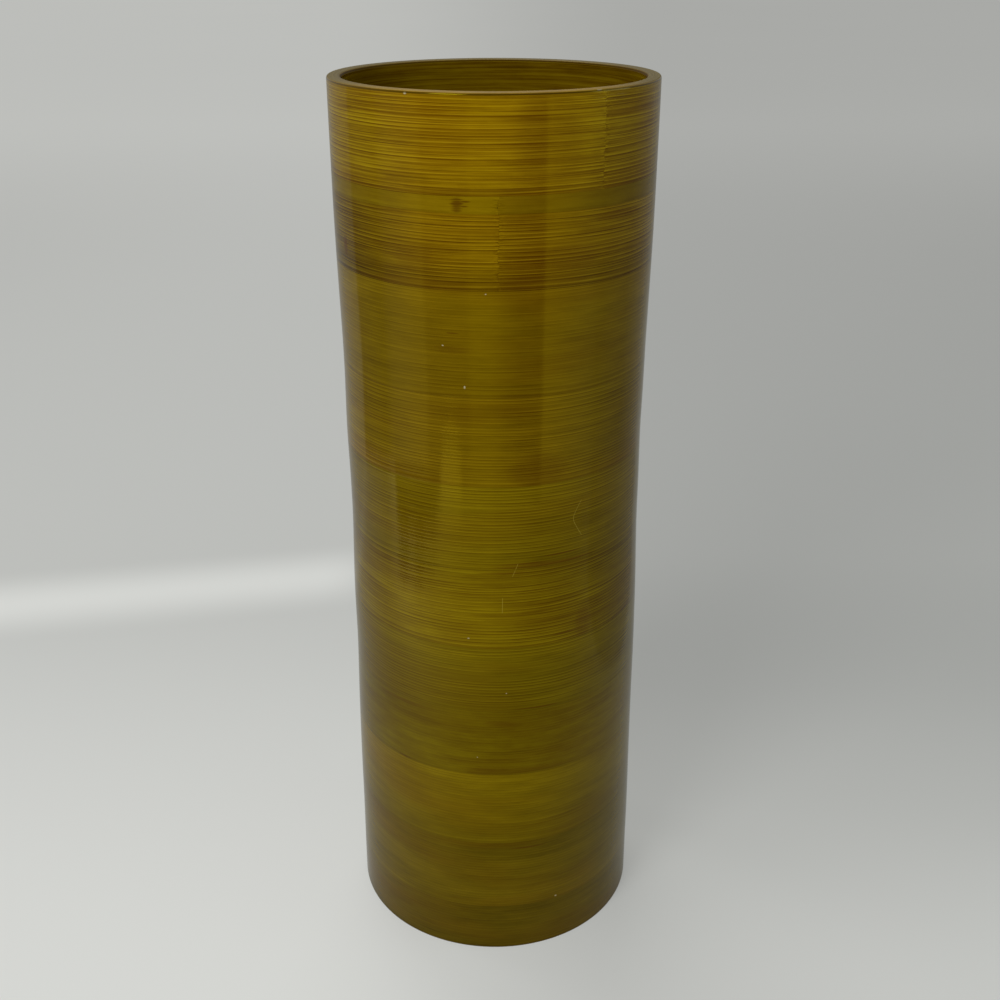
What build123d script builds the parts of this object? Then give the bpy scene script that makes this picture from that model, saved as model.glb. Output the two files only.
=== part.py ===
from build123d import *
import os
from math import degrees, pi, sin

# Wound bamboo vase, in millimetres, standing on the plane z = 0 with its axis on Z.
# The front is towards -Y. A joint angle is counted from the front, positive towards +X.

# Outline of the wall
total_height = 406.0
rim_radius = 69.5
waist_radius = 67.7
foot_radius = 69.4
waist_height = 215.0
wall_thickness = 6.0

# Edges broken by sanding
rim_outer_bevel = 1.0
rim_inner_bevel = 0.7
foot_bevel = 0.5

# The wound bands of the wall, from the rim down
band_names = [
    "rim_band",
    "knotted_strip",
    "second_band",
    "third_band",
    "fourth_band",
    "fifth_band",
    "sixth_band",
    "seventh_band",
    "eighth_band",
    "ninth_band",
    "tenth_band",
    "foot_band",
]

# Where each band ends below, as a share of the vase's height
bottom_shares = [
    0.9071,
    0.8906,
    0.8163,
    0.7057,
    0.6096,
    0.5133,
    0.4192,
    0.3374,
    0.2527,
    0.1579,
    0.0633,
    0,
]

# Where the outer end of each band's joint lies, in degrees
joint_angles = [38.3, 1.6, 1.6, 124, -141, 168, -98, 107, -163, 147, -118, 96]

# Stepped joint that closes each band: its two ends lap over each other in the wall
lap_length = 14.0
glue_gap = 0.2

# Flat wound floor, glued inside the foot band a little above the table
floor_thickness = 5.5
floor_recess = 1.5
core_radius = 9.0

# How far a cut runs past the wall
overrun = 2.0


# The wall is slimmest at the waist. Above it the wall leans out and stands upright again at
# the rim, and below it the wall widens at once and stands upright again at the foot.
def outer_radius(z):
    if z > waist_height:
        rise = (z - waist_height) / (total_height - waist_height)
        return waist_radius + (rim_radius - waist_radius) * rise**2 * (3 - 2 * rise)
    fall = (waist_height - z) / waist_height
    return waist_radius + (foot_radius - waist_radius) * sin(fall * pi / 2)


def inner_radius(z):
    return outer_radius(z) - wall_thickness


# One side of a band's section. A band is wound straight, so the wall's curve is a chain of
# slight cones. The straight side is a curve of two points, which turns into few facets.
def wall_side(radius_at, z_low, z_high):
    return Bezier((radius_at(z_low), z_low), (radius_at(z_high), z_high))


# The wall's section between two heights, with the radius along X and the height along Y.
def wall_section(z_low, z_high):
    outside = wall_side(outer_radius, z_low, z_high)
    inside = wall_side(inner_radius, z_low, z_high)
    top = Line(outside @ 1, inside @ 1)
    bottom = Line(outside @ 0, inside @ 0)
    return make_face([outside, top, inside, bottom])


# Turns a section about the vase's axis, from a start angle and through an arc in degrees.
def turn(section, start_angle=0, arc=360):
    front = Plane(origin=(0, 0, 0), x_dir=(0, -1, 0), z_dir=(-1, 0, 0))
    return Rot(Z=start_angle) * revolve(front * section, Axis.Z, arc)


# The outer or inner rim of a ring's highest or lowest face.
def ring_edge(ring, at_top, at_outside):
    circles = ring.edges().filter_by(GeomType.CIRCLE).group_by(Axis.Z)[-1 if at_top else 0]
    return circles.sort_by(SortBy.RADIUS)[-1 if at_outside else 0]


# A thin upright slot along a radius, where a band's end is cut square.
def end_slot(angle, radius_low, radius_high, z_low, z_high):
    slot = Box(glue_gap, radius_high - radius_low, z_high - z_low)
    place = Pos(0, -(radius_low + radius_high) / 2, (z_low + z_high) / 2)
    return Rot(Z=angle) * place * slot


# The glue line of a lap joint: in from the outside at the joint's angle, along the middle
# of the wall, then through to the inside.
def lap_joint(angle, z_low, z_high):
    widest = max(outer_radius(z_low), outer_radius(z_high))
    slimmest = min(inner_radius(z_low), inner_radius(z_high))
    middle = (widest + slimmest) / 2
    lap_angle = degrees(lap_length / middle)
    low = z_low - overrun
    high = z_high + overrun
    outer_end = end_slot(angle, middle - glue_gap / 2, widest + overrun, low, high)
    inner_end = end_slot(angle + lap_angle, slimmest - overrun, middle + glue_gap / 2, low, high)
    strip = Pos(middle, (low + high) / 2) * Rectangle(glue_gap, high - low)
    return outer_end + inner_end + turn(strip, angle, lap_angle)


# One wound band of the wall, closed by its lap joint.
def wall_band(name, z_low, z_high, joint_angle):
    ring = turn(wall_section(z_low, z_high))
    if name == "rim_band":
        ring = chamfer(ring_edge(ring, True, True), rim_outer_bevel)
        ring = chamfer(ring_edge(ring, True, False), rim_inner_bevel)
    if name == "foot_band":
        ring = chamfer(ring_edge(ring, False, True), foot_bevel)
    return ring - lap_joint(joint_angle, z_low, z_high)


# One flat coil of the floor between two radii.
def floor_coil(radius_low, radius_high):
    width = radius_high - radius_low
    middle = (radius_low + radius_high) / 2
    return turn(Pos(middle, floor_recess + floor_thickness / 2) * Rectangle(width, floor_thickness))


def build_wall():
    pieces = {}
    z_high = total_height
    for name, bottom_share, joint_angle in zip(band_names, bottom_shares, joint_angles):
        z_low = total_height * bottom_share
        pieces[name] = wall_band(name, z_low, z_high, joint_angle)
        z_high = z_low
    return pieces


def build_floor():
    floor_top = floor_recess + floor_thickness
    floor_radius = min(inner_radius(floor_recess), inner_radius(floor_top)) - glue_gap
    return {
        "base_coil": floor_coil(core_radius + glue_gap, floor_radius),
        "base_core": floor_coil(0, core_radius),
    }


os.makedirs("parts", exist_ok=True)
for name, piece in {**build_wall(), **build_floor()}.items():
    export_step(piece, f"parts/{name}.step")
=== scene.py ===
import math
from collections import namedtuple

import bpy
import numpy as np
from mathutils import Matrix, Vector


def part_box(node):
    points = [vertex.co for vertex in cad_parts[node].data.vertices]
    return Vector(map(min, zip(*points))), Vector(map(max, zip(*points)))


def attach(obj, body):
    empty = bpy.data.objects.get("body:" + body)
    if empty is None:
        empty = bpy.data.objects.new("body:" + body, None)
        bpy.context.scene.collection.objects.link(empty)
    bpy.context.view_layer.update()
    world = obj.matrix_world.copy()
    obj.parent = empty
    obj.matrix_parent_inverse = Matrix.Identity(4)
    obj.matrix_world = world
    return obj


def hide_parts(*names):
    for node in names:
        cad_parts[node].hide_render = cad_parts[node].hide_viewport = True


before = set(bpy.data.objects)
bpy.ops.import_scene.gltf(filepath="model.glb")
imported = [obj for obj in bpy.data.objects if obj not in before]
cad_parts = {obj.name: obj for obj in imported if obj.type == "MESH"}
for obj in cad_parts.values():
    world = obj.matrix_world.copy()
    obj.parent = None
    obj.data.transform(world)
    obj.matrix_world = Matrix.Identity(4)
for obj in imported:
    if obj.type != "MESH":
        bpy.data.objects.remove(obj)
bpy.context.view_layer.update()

# Wound bamboo vase. Lengths are in metres, and in millimetres where a name ends in _mm or a
# comment says so. The maps and materials count millimetres and degrees. The front is towards
# -Y, and an angle round the vase is counted from the front, positive towards +X.
MM = 0.001

# Outline of the wall, from the boxes of the CAD bands
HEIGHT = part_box("rim_band")[1].z
RIM_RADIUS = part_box("rim_band")[1].x
FOOT_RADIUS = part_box("foot_band")[1].x
WAIST_RADIUS = 67.7 * MM
WAIST_HEIGHT = 215 * MM
WALL = 6.0 * MM
GLUE_LINE = 0.02 * MM
ROOM = 0.06 * MM

# Hand-made unevenness of the sanded wall: height, size and spread up and down, first where the
# wall is fuller or slimmer all round, then where it leans to the right
SWELLS = [
    (0.170, 0.24 * MM, 0.020),
    (0.290, -0.22 * MM, 0.022),
    (0.345, 0.12 * MM, 0.022),
    (0.205, -0.12 * MM, 0.012),
]
LEANS = [
    (0.252, -0.38 * MM, 0.018),
    (0.140, 0.32 * MM, 0.024),
    (0.045, 0.15 * MM, 0.020),
]
LOPSIDED = 0.05 * MM

# Strips that the bands are wound from
STRIP_HEIGHT = 1.45 * MM
INNER_STRIP_HEIGHT = 3.4 * MM
GROOVE = 0.009 * MM
CROWN = 0.002 * MM
STRIP_STEP = 0.004 * MM
SEAM_DROP = 0.015 * MM
SEAM_WANDER = 0.22 * MM
STRIP_WIDTHS = (0.65, 1.45)
STRIP_WANDER = 0.09
ACROSS = (0.0, 0.14, 0.5, 0.86)

# Joint that closes each band. Its outer and inner layer end a lap apart.
JOINT_GAP = 0.03 * MM
LAP_ANGLE = math.radians(12.4)
END_DROP = 0.015 * MM
END_EASE = 0.4 * MM
END_WANDER = 0.55 * MM
END_REACH = 6.0 * MM
END_SPACING = 0.0011
COLUMNS = 241
CHIP_COLUMNS = 25
NEAR_END_MM = (0.05, 0.15, 0.35, 0.8)

# Rim and foot
RIM_OUTER_ROUND = 1.0 * MM
RIM_INNER_ROUND = 1.4 * MM
FOOT_ROUND = 0.6 * MM

# Edges stay sharp in the shading where the faces turn by more than this
SHARP_ANGLE = math.radians(50)

# Flat face of the rim, in millimetres from the outside: where each layer's part starts and
# ends, and the fine sunk lines on it, with their half width and depth
RIM_OUTER_FACE = (1.0, 2.95, (1.5, 2.2))
RIM_INNER_FACE = (3.05, 4.6, (3.8,))
RIM_LINE_HALF = 0.09
RIM_LINE_DEPTH = 0.045

# Where the flat rim starts and ends, how far its last edge drops, the tone that its strips have
# in turn with the rest of the sum, and the place across a strip of its lines and faces
RIM_FACE_START_MM = 0.12
RIM_FACE_END_MM = 0.08
RIM_FACE_DROP_MM = 0.03
RIM_TONE = 0.35
RIM_TONE_SUM = 0.8
RIM_LINE_SHARE = 0.02
RIM_FACE_SHARE = 0.4

# Tone and place across the strip map of the rounded edges of the rim and the foot
RIM_ROUND_LOOK = (0.45, 0.4, 0.6)
FOOT_ROUND_LOOK = (0.4, 0.5, 0.5)

# Starts of the random draws that don't take a band's own seed
END_SEED = 200
SEAM_SEED = 40
FLOOR_SEED = 60

# Floor: a thin strip wound flat round a tight core, which has a pin in its middle
COIL_STRIP = 1.5 * MM
CORE_STRIP = 1.1 * MM
PIN_RADIUS = 1.3 * MM
COIL_GAP = 0.03 * MM
COIL_EASE = 0.10 * MM
COIL_STEP = 0.07 * MM
COLUMNS_PER_TURN = 90
COIL_ENDS = (0.03, 0.97)
PIN_COLUMNS = 48
PIN_OUTLINE = [(0.55, 0.0), (0.9, 0.02), (1.0, 0.08), (1.0, 0.92), (0.9, 0.98), (0.55, 1.0)]

# Each band's slot, the angle of its joint and how it looks: its shade on the left, in front and on
# the right, which is its own tone with painted light and shade, the change of shade to the right
# of its joint, the shade along its upper and lower part, its green share, how strong its stripes,
# its lines and the dark strip along its lower edge are, and its random seed.
Band = namedtuple("Band", "node slot joint left middle right after top bottom green stripes lines edge seed")
BANDS = [
    Band("rim_band", "striped_bamboo", 38.3, 1.36, 1.43, 1.28, -0.05, 1.08, 0.95, 0.99, 1.0, 1.0, 0.3, 11),
    Band("knotted_strip", "pale_bamboo", 1.6, 1.02, 1.15, 1.04, -0.18, 1.0, 1.0, 0.98, 0.12, 0.12, 0.3, 12),
    Band("second_band", "striped_bamboo", 1.6, 0.76, 1.16, 1.10, -0.08, 1.03, 0.78, 0.95, 0.9, 1.2, 0.28, 13),
    Band("third_band", "plain_bamboo", 124, 1.05, 0.93, 1.00, 0.0, 1.16, 1.0, 0.98, 0.35, 0.45, 0.35, 14),
    Band("fourth_band", "plain_bamboo", -141, 1.10, 0.97, 0.90, 0.0, 0.98, 1.04, 0.97, 0.6, 0.8, 0.05, 15),
    Band("fifth_band", "plain_bamboo", 168, 0.90, 1.00, 0.92, 0.0, 1.0, 0.90, 1.06, 0.65, 0.85, 0.10, 16),
    Band("sixth_band", "striped_bamboo", -98, 0.95, 1.03, 0.79, 0.0, 0.86, 0.97, 1.11, 0.8, 0.95, 0.12, 17),
    Band("seventh_band", "plain_bamboo", 107, 0.83, 0.89, 0.75, 0.0, 1.15, 1.0, 1.10, 0.5, 0.75, 0.15, 18),
    Band("eighth_band", "striped_bamboo", -163, 0.76, 0.84, 0.81, 0.0, 0.93, 1.0, 1.17, 0.25, 0.25, 0.10, 19),
    Band("ninth_band", "plain_bamboo", 147, 1.12, 1.18, 0.90, 0.0, 1.04, 0.80, 1.08, 0.35, 0.35, 0.15, 20),
    Band("tenth_band", "dark_bamboo", -118, 1.21, 1.22, 1.07, 0.0, 0.92, 1.08, 1.07, 0.3, 0.25, 0.1, 21),
    Band("foot_band", "dark_bamboo", 96, 1.00, 1.00, 1.04, 0.0, 1.0, 0.95, 1.05, 0.25, 0.25, 0.2, 22),
]

# Height of that dark strip, the share and number of its waves, and how far below the others
# its tone on the strip map is
EDGE_STRIP = 0.9 * MM
EDGE_WANDER = 0.25
EDGE_WAVES = 5
EDGE_TONE = 3.0

# Small marks seen on the vase: the band, the angle, the height in millimetres, the half size
# along and up in millimetres, the kind and how ragged it is. Some smudges are painted shade.
Mark = namedtuple("Mark", "node angle height along up kind ragged")
MARKS = [
    Mark("rim_band", -28.5, 405.0, 0.75, 0.55, "chip", 0.2),
    Mark("rim_band", 35.3, 405.6, 1.3, 0.40, "chip", 0.3),
    Mark("third_band", -2.6, 330.2, 0.35, 0.30, "speck", 0.2),
    Mark("third_band", -17.4, 308.4, 0.50, 0.28, "speck", 0.3),
    Mark("third_band", -10.0, 291.3, 0.45, 0.70, "speck", 0.5),
    Mark("sixth_band", -9.6, 174.8, 0.55, 0.30, "speck", 0.4),
    Mark("seventh_band", 4.5, 146.8, 0.35, 0.30, "speck", 0.2),
    Mark("eighth_band", -6.6, 112.4, 0.28, 0.25, "speck", 0.2),
    Mark("tenth_band", 25.4, 26.9, 0.60, 0.50, "speck", 0.2),
    Mark("knotted_strip", -11.6, 364.9, 2.5, 3.0, "knot", 1.0),
    Mark("knotted_strip", -9.0, 366.1, 2.4, 0.40, "knot", 0.5),
    Mark("knotted_strip", -9.4, 364.2, 1.9, 0.35, "knot", 0.5),
    Mark("second_band", -62.5, 341.5, 2.2, 4.0, "knot", 1.4),
    Mark("second_band", 12.0, 334.0, 24.0, 3.8, "smudge_and_shade", 0.3),
    Mark("second_band", -24.0, 333.0, 26.0, 3.0, "smudge_and_shade", 0.4),
    Mark("rim_band", -12.0, 369.6, 38.0, 1.7, "smudge_and_shade", 0.3),
    Mark("second_band", 46.0, 357.3, 17.0, 1.9, "smudge_and_shade", 0.6),
    Mark("third_band", -13.5, 307.0, 8.0, 2.0, "smudge_and_shade", 1.3),
    # This smudge is painted shade: a darker zone on the rim band.
    Mark("rim_band", 18.0, 388.0, 15.0, 24.0, "smudge_and_shade", 0.45),
    Mark("second_band", 25.0, 343.0, 15.0, 6.0, "smudge_and_shade", 0.5),
    Mark("second_band", -27.0, 343.0, 10.0, 6.0, "smudge_and_shade", 0.5),
    Mark("fourth_band", 16.0, 254.0, 15.0, 8.0, "smudge_and_shade", 0.5),
    Mark("sixth_band", 35.5, 176.0, 5.0, 9.0, "smudge_and_shade", 0.4),
    Mark("third_band", -14.0, 313.8, 3.0, 0.35, "crack", 0.5),
    Mark("seventh_band", 16.0, 138.1, 12.5, 0.38, "crack", 0.5),
    Mark("eighth_band", -37.0, 134.3, 17.0, 1.1, "smudge_and_shade", 0.8),
    Mark("eighth_band", 3.0, 130.5, 9.0, 1.7, "smudge_and_shade", 1.2),
    Mark("eighth_band", -38.0, 103.4, 4.5, 0.45, "crack", 0.5),
    Mark("eighth_band", 6.0, 104.8, 26.0, 2.2, "smudge_and_shade", 0.7),
    Mark("sixth_band", 27.0, 174.0, 7.0, 0.40, "crack", 0.7),
    Mark("tenth_band", 13.0, 60.3, 9.5, 0.45, "crack", 0.6),
    Mark("fifth_band", 11.0, 210.9, 15.0, 0.5, "crack", 0.9),
    Mark("sixth_band", 3.0, 206.9, 12.0, 0.45, "crack", 0.9),
    Mark("fifth_band", 26.0, 213.6, 10.0, 0.4, "crack", 0.9),
    Mark("fifth_band", 20.0, 209.7, 26.0, 0.9, "crack", 0.8),
]
CHIP_DEPTH = 0.16 * MM
CHIP_REACH = 2.4 * MM

# Fine bent scratches: the band, the angle and height of the bend, how fast the scratch leans
# away below and above it in degrees per millimetre, and its lowest and highest place.
Scratch = namedtuple("Scratch", "node angle height below above low high")
SCRATCHES = [
    Scratch("fifth_band", 30.3, 229.0, -0.55, 0.58, 219.8, 237.0),
    Scratch("sixth_band", 3.0, 191.0, 0.02, 0.02, 187.5, 195.2),
    Scratch("fifth_band", 8.6, 210.8, 0.34, 0.34, 208.4, 211.4),
    Scratch("sixth_band", 7.8, 208.4, 0.34, 0.34, 205.0, 208.4),
]


# Geometry of the wall

# Its unevenness fades out over this height towards rim and foot, and is a sum of waves: the
# size of each, its waves round the vase, its change with height and its start.
LEVEL_REACH = 0.03
WOBBLES = ((1.0, 2, 9, 0.0), (0.6, 3, -23, 1.0))

# The waves of a seam: the size of each and how many go round the vase
SEAM_WAVES = ((1.0, 1), (0.6, 2), (0.35, 5))


def wall_radius(z, angle):
    rise = np.clip((z - WAIST_HEIGHT) / (HEIGHT - WAIST_HEIGHT), 0, 1)
    fall = np.clip((WAIST_HEIGHT - z) / WAIST_HEIGHT, 0, 1)
    radius = WAIST_RADIUS + (RIM_RADIUS - WAIST_RADIUS) * rise ** 2 * (3 - 2 * rise)
    radius = radius + (FOOT_RADIUS - WAIST_RADIUS) * np.sin(fall * math.pi / 2)
    middle_share = np.clip(np.minimum(z, HEIGHT - z) / LEVEL_REACH, 0, 1)
    for height, size, spread in SWELLS:
        radius = radius + size * np.exp(-((z - height) / spread) ** 2)
    for height, size, spread in LEANS:
        radius = radius + size * np.sin(angle) * np.exp(-((z - height) / spread) ** 2)
    wobble = sum(size * np.sin(count * angle + change * z + start)
                 for size, count, change, start in WOBBLES)
    return radius + LOPSIDED * wobble * middle_share - ROOM


# A point at a radius, an angle and a height, or one row of points for each row of them.
def round_axis(radius, angle, height):
    return np.stack(np.broadcast_arrays(radius * np.sin(angle), -radius * np.cos(angle), height), -1)


# The line where two bands meet wanders a little, and both follow it. Rim and foot are level.
class Seam:
    def __init__(self, height, wander, seed):
        self.height = height
        self.wander = wander
        self.phases = np.random.default_rng(seed).uniform(0, 2 * math.pi, 3)

    def at(self, angle):
        wave = sum(size * np.sin(count * angle + phase)
                   for (size, count), phase in zip(SEAM_WAVES, self.phases))
        return self.height + self.wander * wave


# Heights of the strip edges as shares of the band, one row for each column of the ring. The
# strips taper along the band, so their order stays and their heights change.
def strip_edges(count, turns, rng):
    start = np.cumsum(np.r_[0, rng.uniform(*STRIP_WIDTHS, count)])
    end = np.cumsum(np.r_[0, rng.uniform(*STRIP_WIDTHS, count)])
    start = start / start[-1]
    end = end / end[-1]
    edges = start[None, :] + (end - start)[None, :] * turns[:, None]
    waves = rng.integers(2, 7, count - 1)
    phases = rng.uniform(0, 2 * math.pi, count - 1)
    edges[:, 1:count] += STRIP_WANDER / count * np.sin(2 * math.pi * turns[:, None] * waves + phases)
    return edges


# Angles of the ring's columns, from one end of the band to the other, closer near both ends
# and round the places that need it.
def column_angles(joint, radius, close_places=()):
    half_gap = JOINT_GAP / 2 / radius
    start = joint + half_gap
    end = joint + 2 * math.pi - half_gap
    near = np.array(NEAR_END_MM) * MM / radius
    angles = [np.linspace(start, end, COLUMNS), start + near, end - near]
    for place in close_places:
        middle = joint + (math.radians(place) - joint) % (2 * math.pi)
        angles.append(middle + np.linspace(-CHIP_REACH, CHIP_REACH, CHIP_COLUMNS) / radius)
    return np.unique(np.concatenate(angles)), start, end


# Everything that one closed ring of the mesh needs. Its points have an angle, a shift of that
# angle, a radius and a height, one row for each column, and each column has a length round the
# vase. Each side of its section has a tone, the share of its strip where it starts and ends, a
# place across the grain and a zone.
Ring = namedtuple("Ring", "angles around shift radius height tone low high grain zone")


# The cut ends of the strips are not quite in line. How far each height's end is shifted round,
# as an angle, fading out away from the end.
def end_shift(band, angles, start, end, height):
    rng = np.random.default_rng(band.seed + END_SEED)
    keys = np.arange(-0.01, HEIGHT + 0.02, END_SPACING)
    shift = np.interp(height, keys, rng.uniform(-1, 1, len(keys))) * END_WANDER / RIM_RADIUS
    away = np.minimum(angles - start, end - angles) * RIM_RADIUS
    return shift * np.clip(1 - away / END_REACH, 0, 1)[:, None]


def end_drop(angles, start, end, radius):
    away = np.minimum(angles - start, end - angles) * radius
    return END_DROP * np.clip(1 - away / END_EASE, 0, 1) ** 2


def chip_dent(mark, angles, height):
    around = (angles - math.radians(mark.angle) + math.pi) % (2 * math.pi) - math.pi
    away = (around * RIM_RADIUS / MM / mark.along) ** 2 + ((height / MM - mark.height) / mark.up) ** 2
    return CHIP_DEPTH * np.exp(-away)


class Section:
    """Collects the points of a ring's section, going up outside and down inside."""

    def __init__(self, columns):
        self.columns = columns
        self.radius = []
        self.height = []
        self.sides = []

    def point(self, radius, height, tone=0.5, low=0.5, high=0.5, zone="hidden"):
        self.radius.append(np.broadcast_to(radius, self.columns))
        self.height.append(np.broadcast_to(height, self.columns))
        self.sides.append((tone, low, high, zone))

    def ring(self, band, angles, grain_start):
        radius = np.stack(self.radius, 1)
        height = np.stack(self.height, 1)
        step = np.hypot(np.roll(radius, -1, 1) - radius, np.roll(height, -1, 1) - height).mean(0)
        grain = grain_start + np.concatenate([[0], np.cumsum(step)]) / MM
        *strip, zone = zip(*self.sides)
        shift = end_shift(band, angles, angles[0], angles[-1], height)
        for mark in MARKS:
            if mark.node == band.node and mark.kind == "chip":
                radius = radius - chip_dent(mark, angles[:, None], height)
        around = (angles - angles[0]) * RIM_RADIUS / MM
        return Ring(angles, around, shift, radius, height, *map(np.array, strip), grain, zone)


# Adds the rows of a face of strips. The face goes up outside or down inside.
def strip_rows(band, section, surface, low, high, edges, angles, rng, depth, zone, downwards=False):
    count = edges.shape[1] - 1
    tones = rng.random(count)
    steps = rng.uniform(-1, 1, count)
    order = range(count - 1, -1, -1) if downwards else range(count)
    outward = -1 if downwards else 1
    relief = dict(zip(ACROSS, (-GROOVE, 0.0, CROWN, 0.0)))
    if not downwards:
        tones[0] = -band.edge * EDGE_TONE
    for place, strip in enumerate(order):
        for row, share in enumerate(ACROSS):
            across = 1 - share if downwards else share
            edge = edges[:, strip] + across * (edges[:, strip + 1] - edges[:, strip])
            height = low + edge * (high - low)
            lift = relief[share] * depth
            if share:
                lift = lift + steps[strip] * STRIP_STEP * depth
            if place == 0 and row == 0:
                lift = -SEAM_DROP
            following = ACROSS[row + 1] if row + 1 < len(ACROSS) else 1.0
            radius = surface(height, angles) + outward * lift
            section.point(radius, height, tones[strip], share, following, zone)
    last = edges[:, 0 if downwards else count]
    height = low + last * (high - low)
    return surface(height, angles) - outward * SEAM_DROP, height


# Points of a quarter round, as shares of its radius: how much is cut away, and how far up.
def quarter_round(steps):
    turns = np.linspace(0, math.pi / 2, steps)
    return [(1 - math.cos(turn), math.sin(turn)) for turn in turns]


# Start of a layer of a band, whose ends lie at an angle: its columns and their turns from 0 to
# 1, how far its ends drop back, and the heights of its two seams.
def layer_frame(joint, radius, low_seam, high_seam, close_places=()):
    angles, start, end = column_angles(joint, radius, close_places)
    turns = (angles - start) / (end - start)
    low = low_seam.at(angles) + GLUE_LINE / 2
    high = high_seam.at(angles) - GLUE_LINE / 2
    return angles, turns, end_drop(angles, start, end, radius), low, high


# Outer layer of a band's wall: half of the wall's thickness.
def outer_layer(band, low_seam, high_seam, rng):
    joint = math.radians(band.joint)
    chips = [mark.angle for mark in MARKS if mark.node == band.node and mark.kind == "chip"]
    angles, turns, drop, low, high = layer_frame(joint, RIM_RADIUS, low_seam, high_seam, chips)
    at_rim = band.node == "rim_band"
    at_foot = band.node == "foot_band"
    face_high = high - RIM_OUTER_ROUND if at_rim else high
    face_low = low + FOOT_ROUND if at_foot else low
    count = max(3, round(float((face_high - face_low).mean()) / STRIP_HEIGHT))
    edges = strip_edges(count, turns, rng)
    narrow = EDGE_STRIP / float((face_high - face_low).mean())
    edges[:, 1] = narrow * (1 + EDGE_WANDER * np.sin(EDGE_WAVES * angles + band.seed))
    edges[:, 2:] = np.maximum(edges[:, 2:], edges[:, 1:2] + narrow)

    def surface(z, angle):
        return wall_radius(z, angle) - drop

    section = Section(len(angles))
    back = wall_radius(low, angles) - WALL / 2 + GLUE_LINE / 2
    if at_foot:
        for cut, rise in reversed(quarter_round(4)[1:]):
            radius = wall_radius(face_low, angles) - drop - cut * FOOT_ROUND
            section.point(radius, face_low - rise * FOOT_ROUND, *FOOT_ROUND_LOOK, "outer")
    last_radius, last_height = strip_rows(
        band, section, surface, face_low, face_high, edges, angles, rng, 1.0, "outer")
    if at_rim:
        for cut, rise in quarter_round(7):
            radius = wall_radius(face_high, angles) - drop - cut * RIM_OUTER_ROUND
            section.point(radius, face_high + rise * RIM_OUTER_ROUND, *RIM_ROUND_LOOK, "outer")
        rim_face(section, wall_radius(face_high, angles), high, *RIM_OUTER_FACE)
    else:
        section.point(last_radius, last_height)
    middle = wall_radius(high, angles) - WALL / 2 + GLUE_LINE / 2
    section.point(middle, high)
    section.point(back, low)
    return section.ring(band, angles, 0.0)


# Inner layer of a band's wall. It ends a lap further round than the outer one.
def inner_layer(band, low_seam, high_seam, rng):
    joint = math.radians(band.joint) + LAP_ANGLE
    angles, turns, drop, low, high = layer_frame(joint, RIM_RADIUS - WALL, low_seam, high_seam)
    at_rim = band.node == "rim_band"
    face_high = high - RIM_INNER_ROUND if at_rim else high
    count = max(2, round(float((face_high - low).mean()) / INNER_STRIP_HEIGHT))
    edges = strip_edges(count, turns, rng)

    def surface(z, angle):
        return wall_radius(z, angle) - WALL + drop

    section = Section(len(angles))
    section.point(wall_radius(low, angles) - WALL / 2 - GLUE_LINE / 2, low)
    middle = wall_radius(high, angles) - WALL / 2 - GLUE_LINE / 2
    section.point(middle, high, zone="outer" if at_rim else "hidden")
    if at_rim:
        rim_face(section, wall_radius(face_high, angles), high, *RIM_INNER_FACE)
        for cut, rise in reversed(quarter_round(6)):
            radius = wall_radius(face_high, angles) - WALL + drop + cut * RIM_INNER_ROUND
            section.point(radius, face_high + rise * RIM_INNER_ROUND, *RIM_ROUND_LOOK, "outer")
    last_radius, last_height = strip_rows(
        band, section, surface, low, face_high, edges, angles, rng, 0.7, "inner", downwards=True)
    section.point(last_radius, last_height)
    return section.ring(band, angles, 40.0)


# Flat face of the rim between two distances from the outside, with the fine sunk lines where
# the wound layers show.
def rim_face(section, outside, height, first_mm, last_mm, lines_mm):
    places = [(first_mm + RIM_FACE_START_MM, 0.0)]
    for line in lines_mm:
        places += [(line - RIM_LINE_HALF, 0.0), (line, RIM_LINE_DEPTH), (line + RIM_LINE_HALF, 0.0)]
    places += [(last_mm - RIM_FACE_END_MM, 0.0), (last_mm, RIM_FACE_DROP_MM)]
    tone = RIM_TONE
    for place_mm, depth_mm in places:
        sunk = depth_mm > 0
        low = RIM_LINE_SHARE if sunk else RIM_FACE_SHARE
        section.point(outside - place_mm * MM, height - depth_mm * MM, tone, low, 0.5, "outer")
        tone = RIM_TONE_SUM - tone if sunk else tone


def quad_index(columns, rows):
    j, k = np.meshgrid(np.arange(columns - 1), np.arange(rows), indexing="ij")
    following = (k + 1) % rows
    a = j * rows + k
    b = (j + 1) * rows + k
    c = (j + 1) * rows + following
    d = j * rows + following
    return np.stack([a, b, c, d], -1).reshape(-1, 4), j.ravel(), k.ravel()


# The four corners of each face on a map, from its two places along and its two places up,
# which may differ at the second place along.
def corners(u0, u1, v0, v1, v0_next=None, v1_next=None):
    v0_next = v0 if v0_next is None else v0_next
    v1_next = v1 if v1_next is None else v1_next
    places = ((u0, v0), (u1, v0_next), (u1, v1_next), (u0, v1))
    return np.stack([np.stack(place, 1) for place in places], 1)


# Free space at the edges of the bake map and between its rows, the height that all rows of
# strips may take, the spare length of a row and the most rows. Then where the rows of hidden
# faces start on it, and how tall these rows are
BAKE_MARGIN = 0.008
STRIPS_TALL = 0.93
ROW_SPARE = 1.02
MOST_ROWS = 12
HIDDEN_BASE = 0.94
HIDDEN_ROW = 0.005
HIDDEN_CAP = 0.006

# The maps of each mesh: along and across the grain, the strip's tone and the share across it,
# the angle and height on the vase, and the map that the materials are baked on. Faces inside the
# vase and in its joints have their height shifted by this much.
LAYERS = ("Grain", "Strip", "Place", "OFBake")
INSIDE_SHIFT = 1000.0


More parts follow.
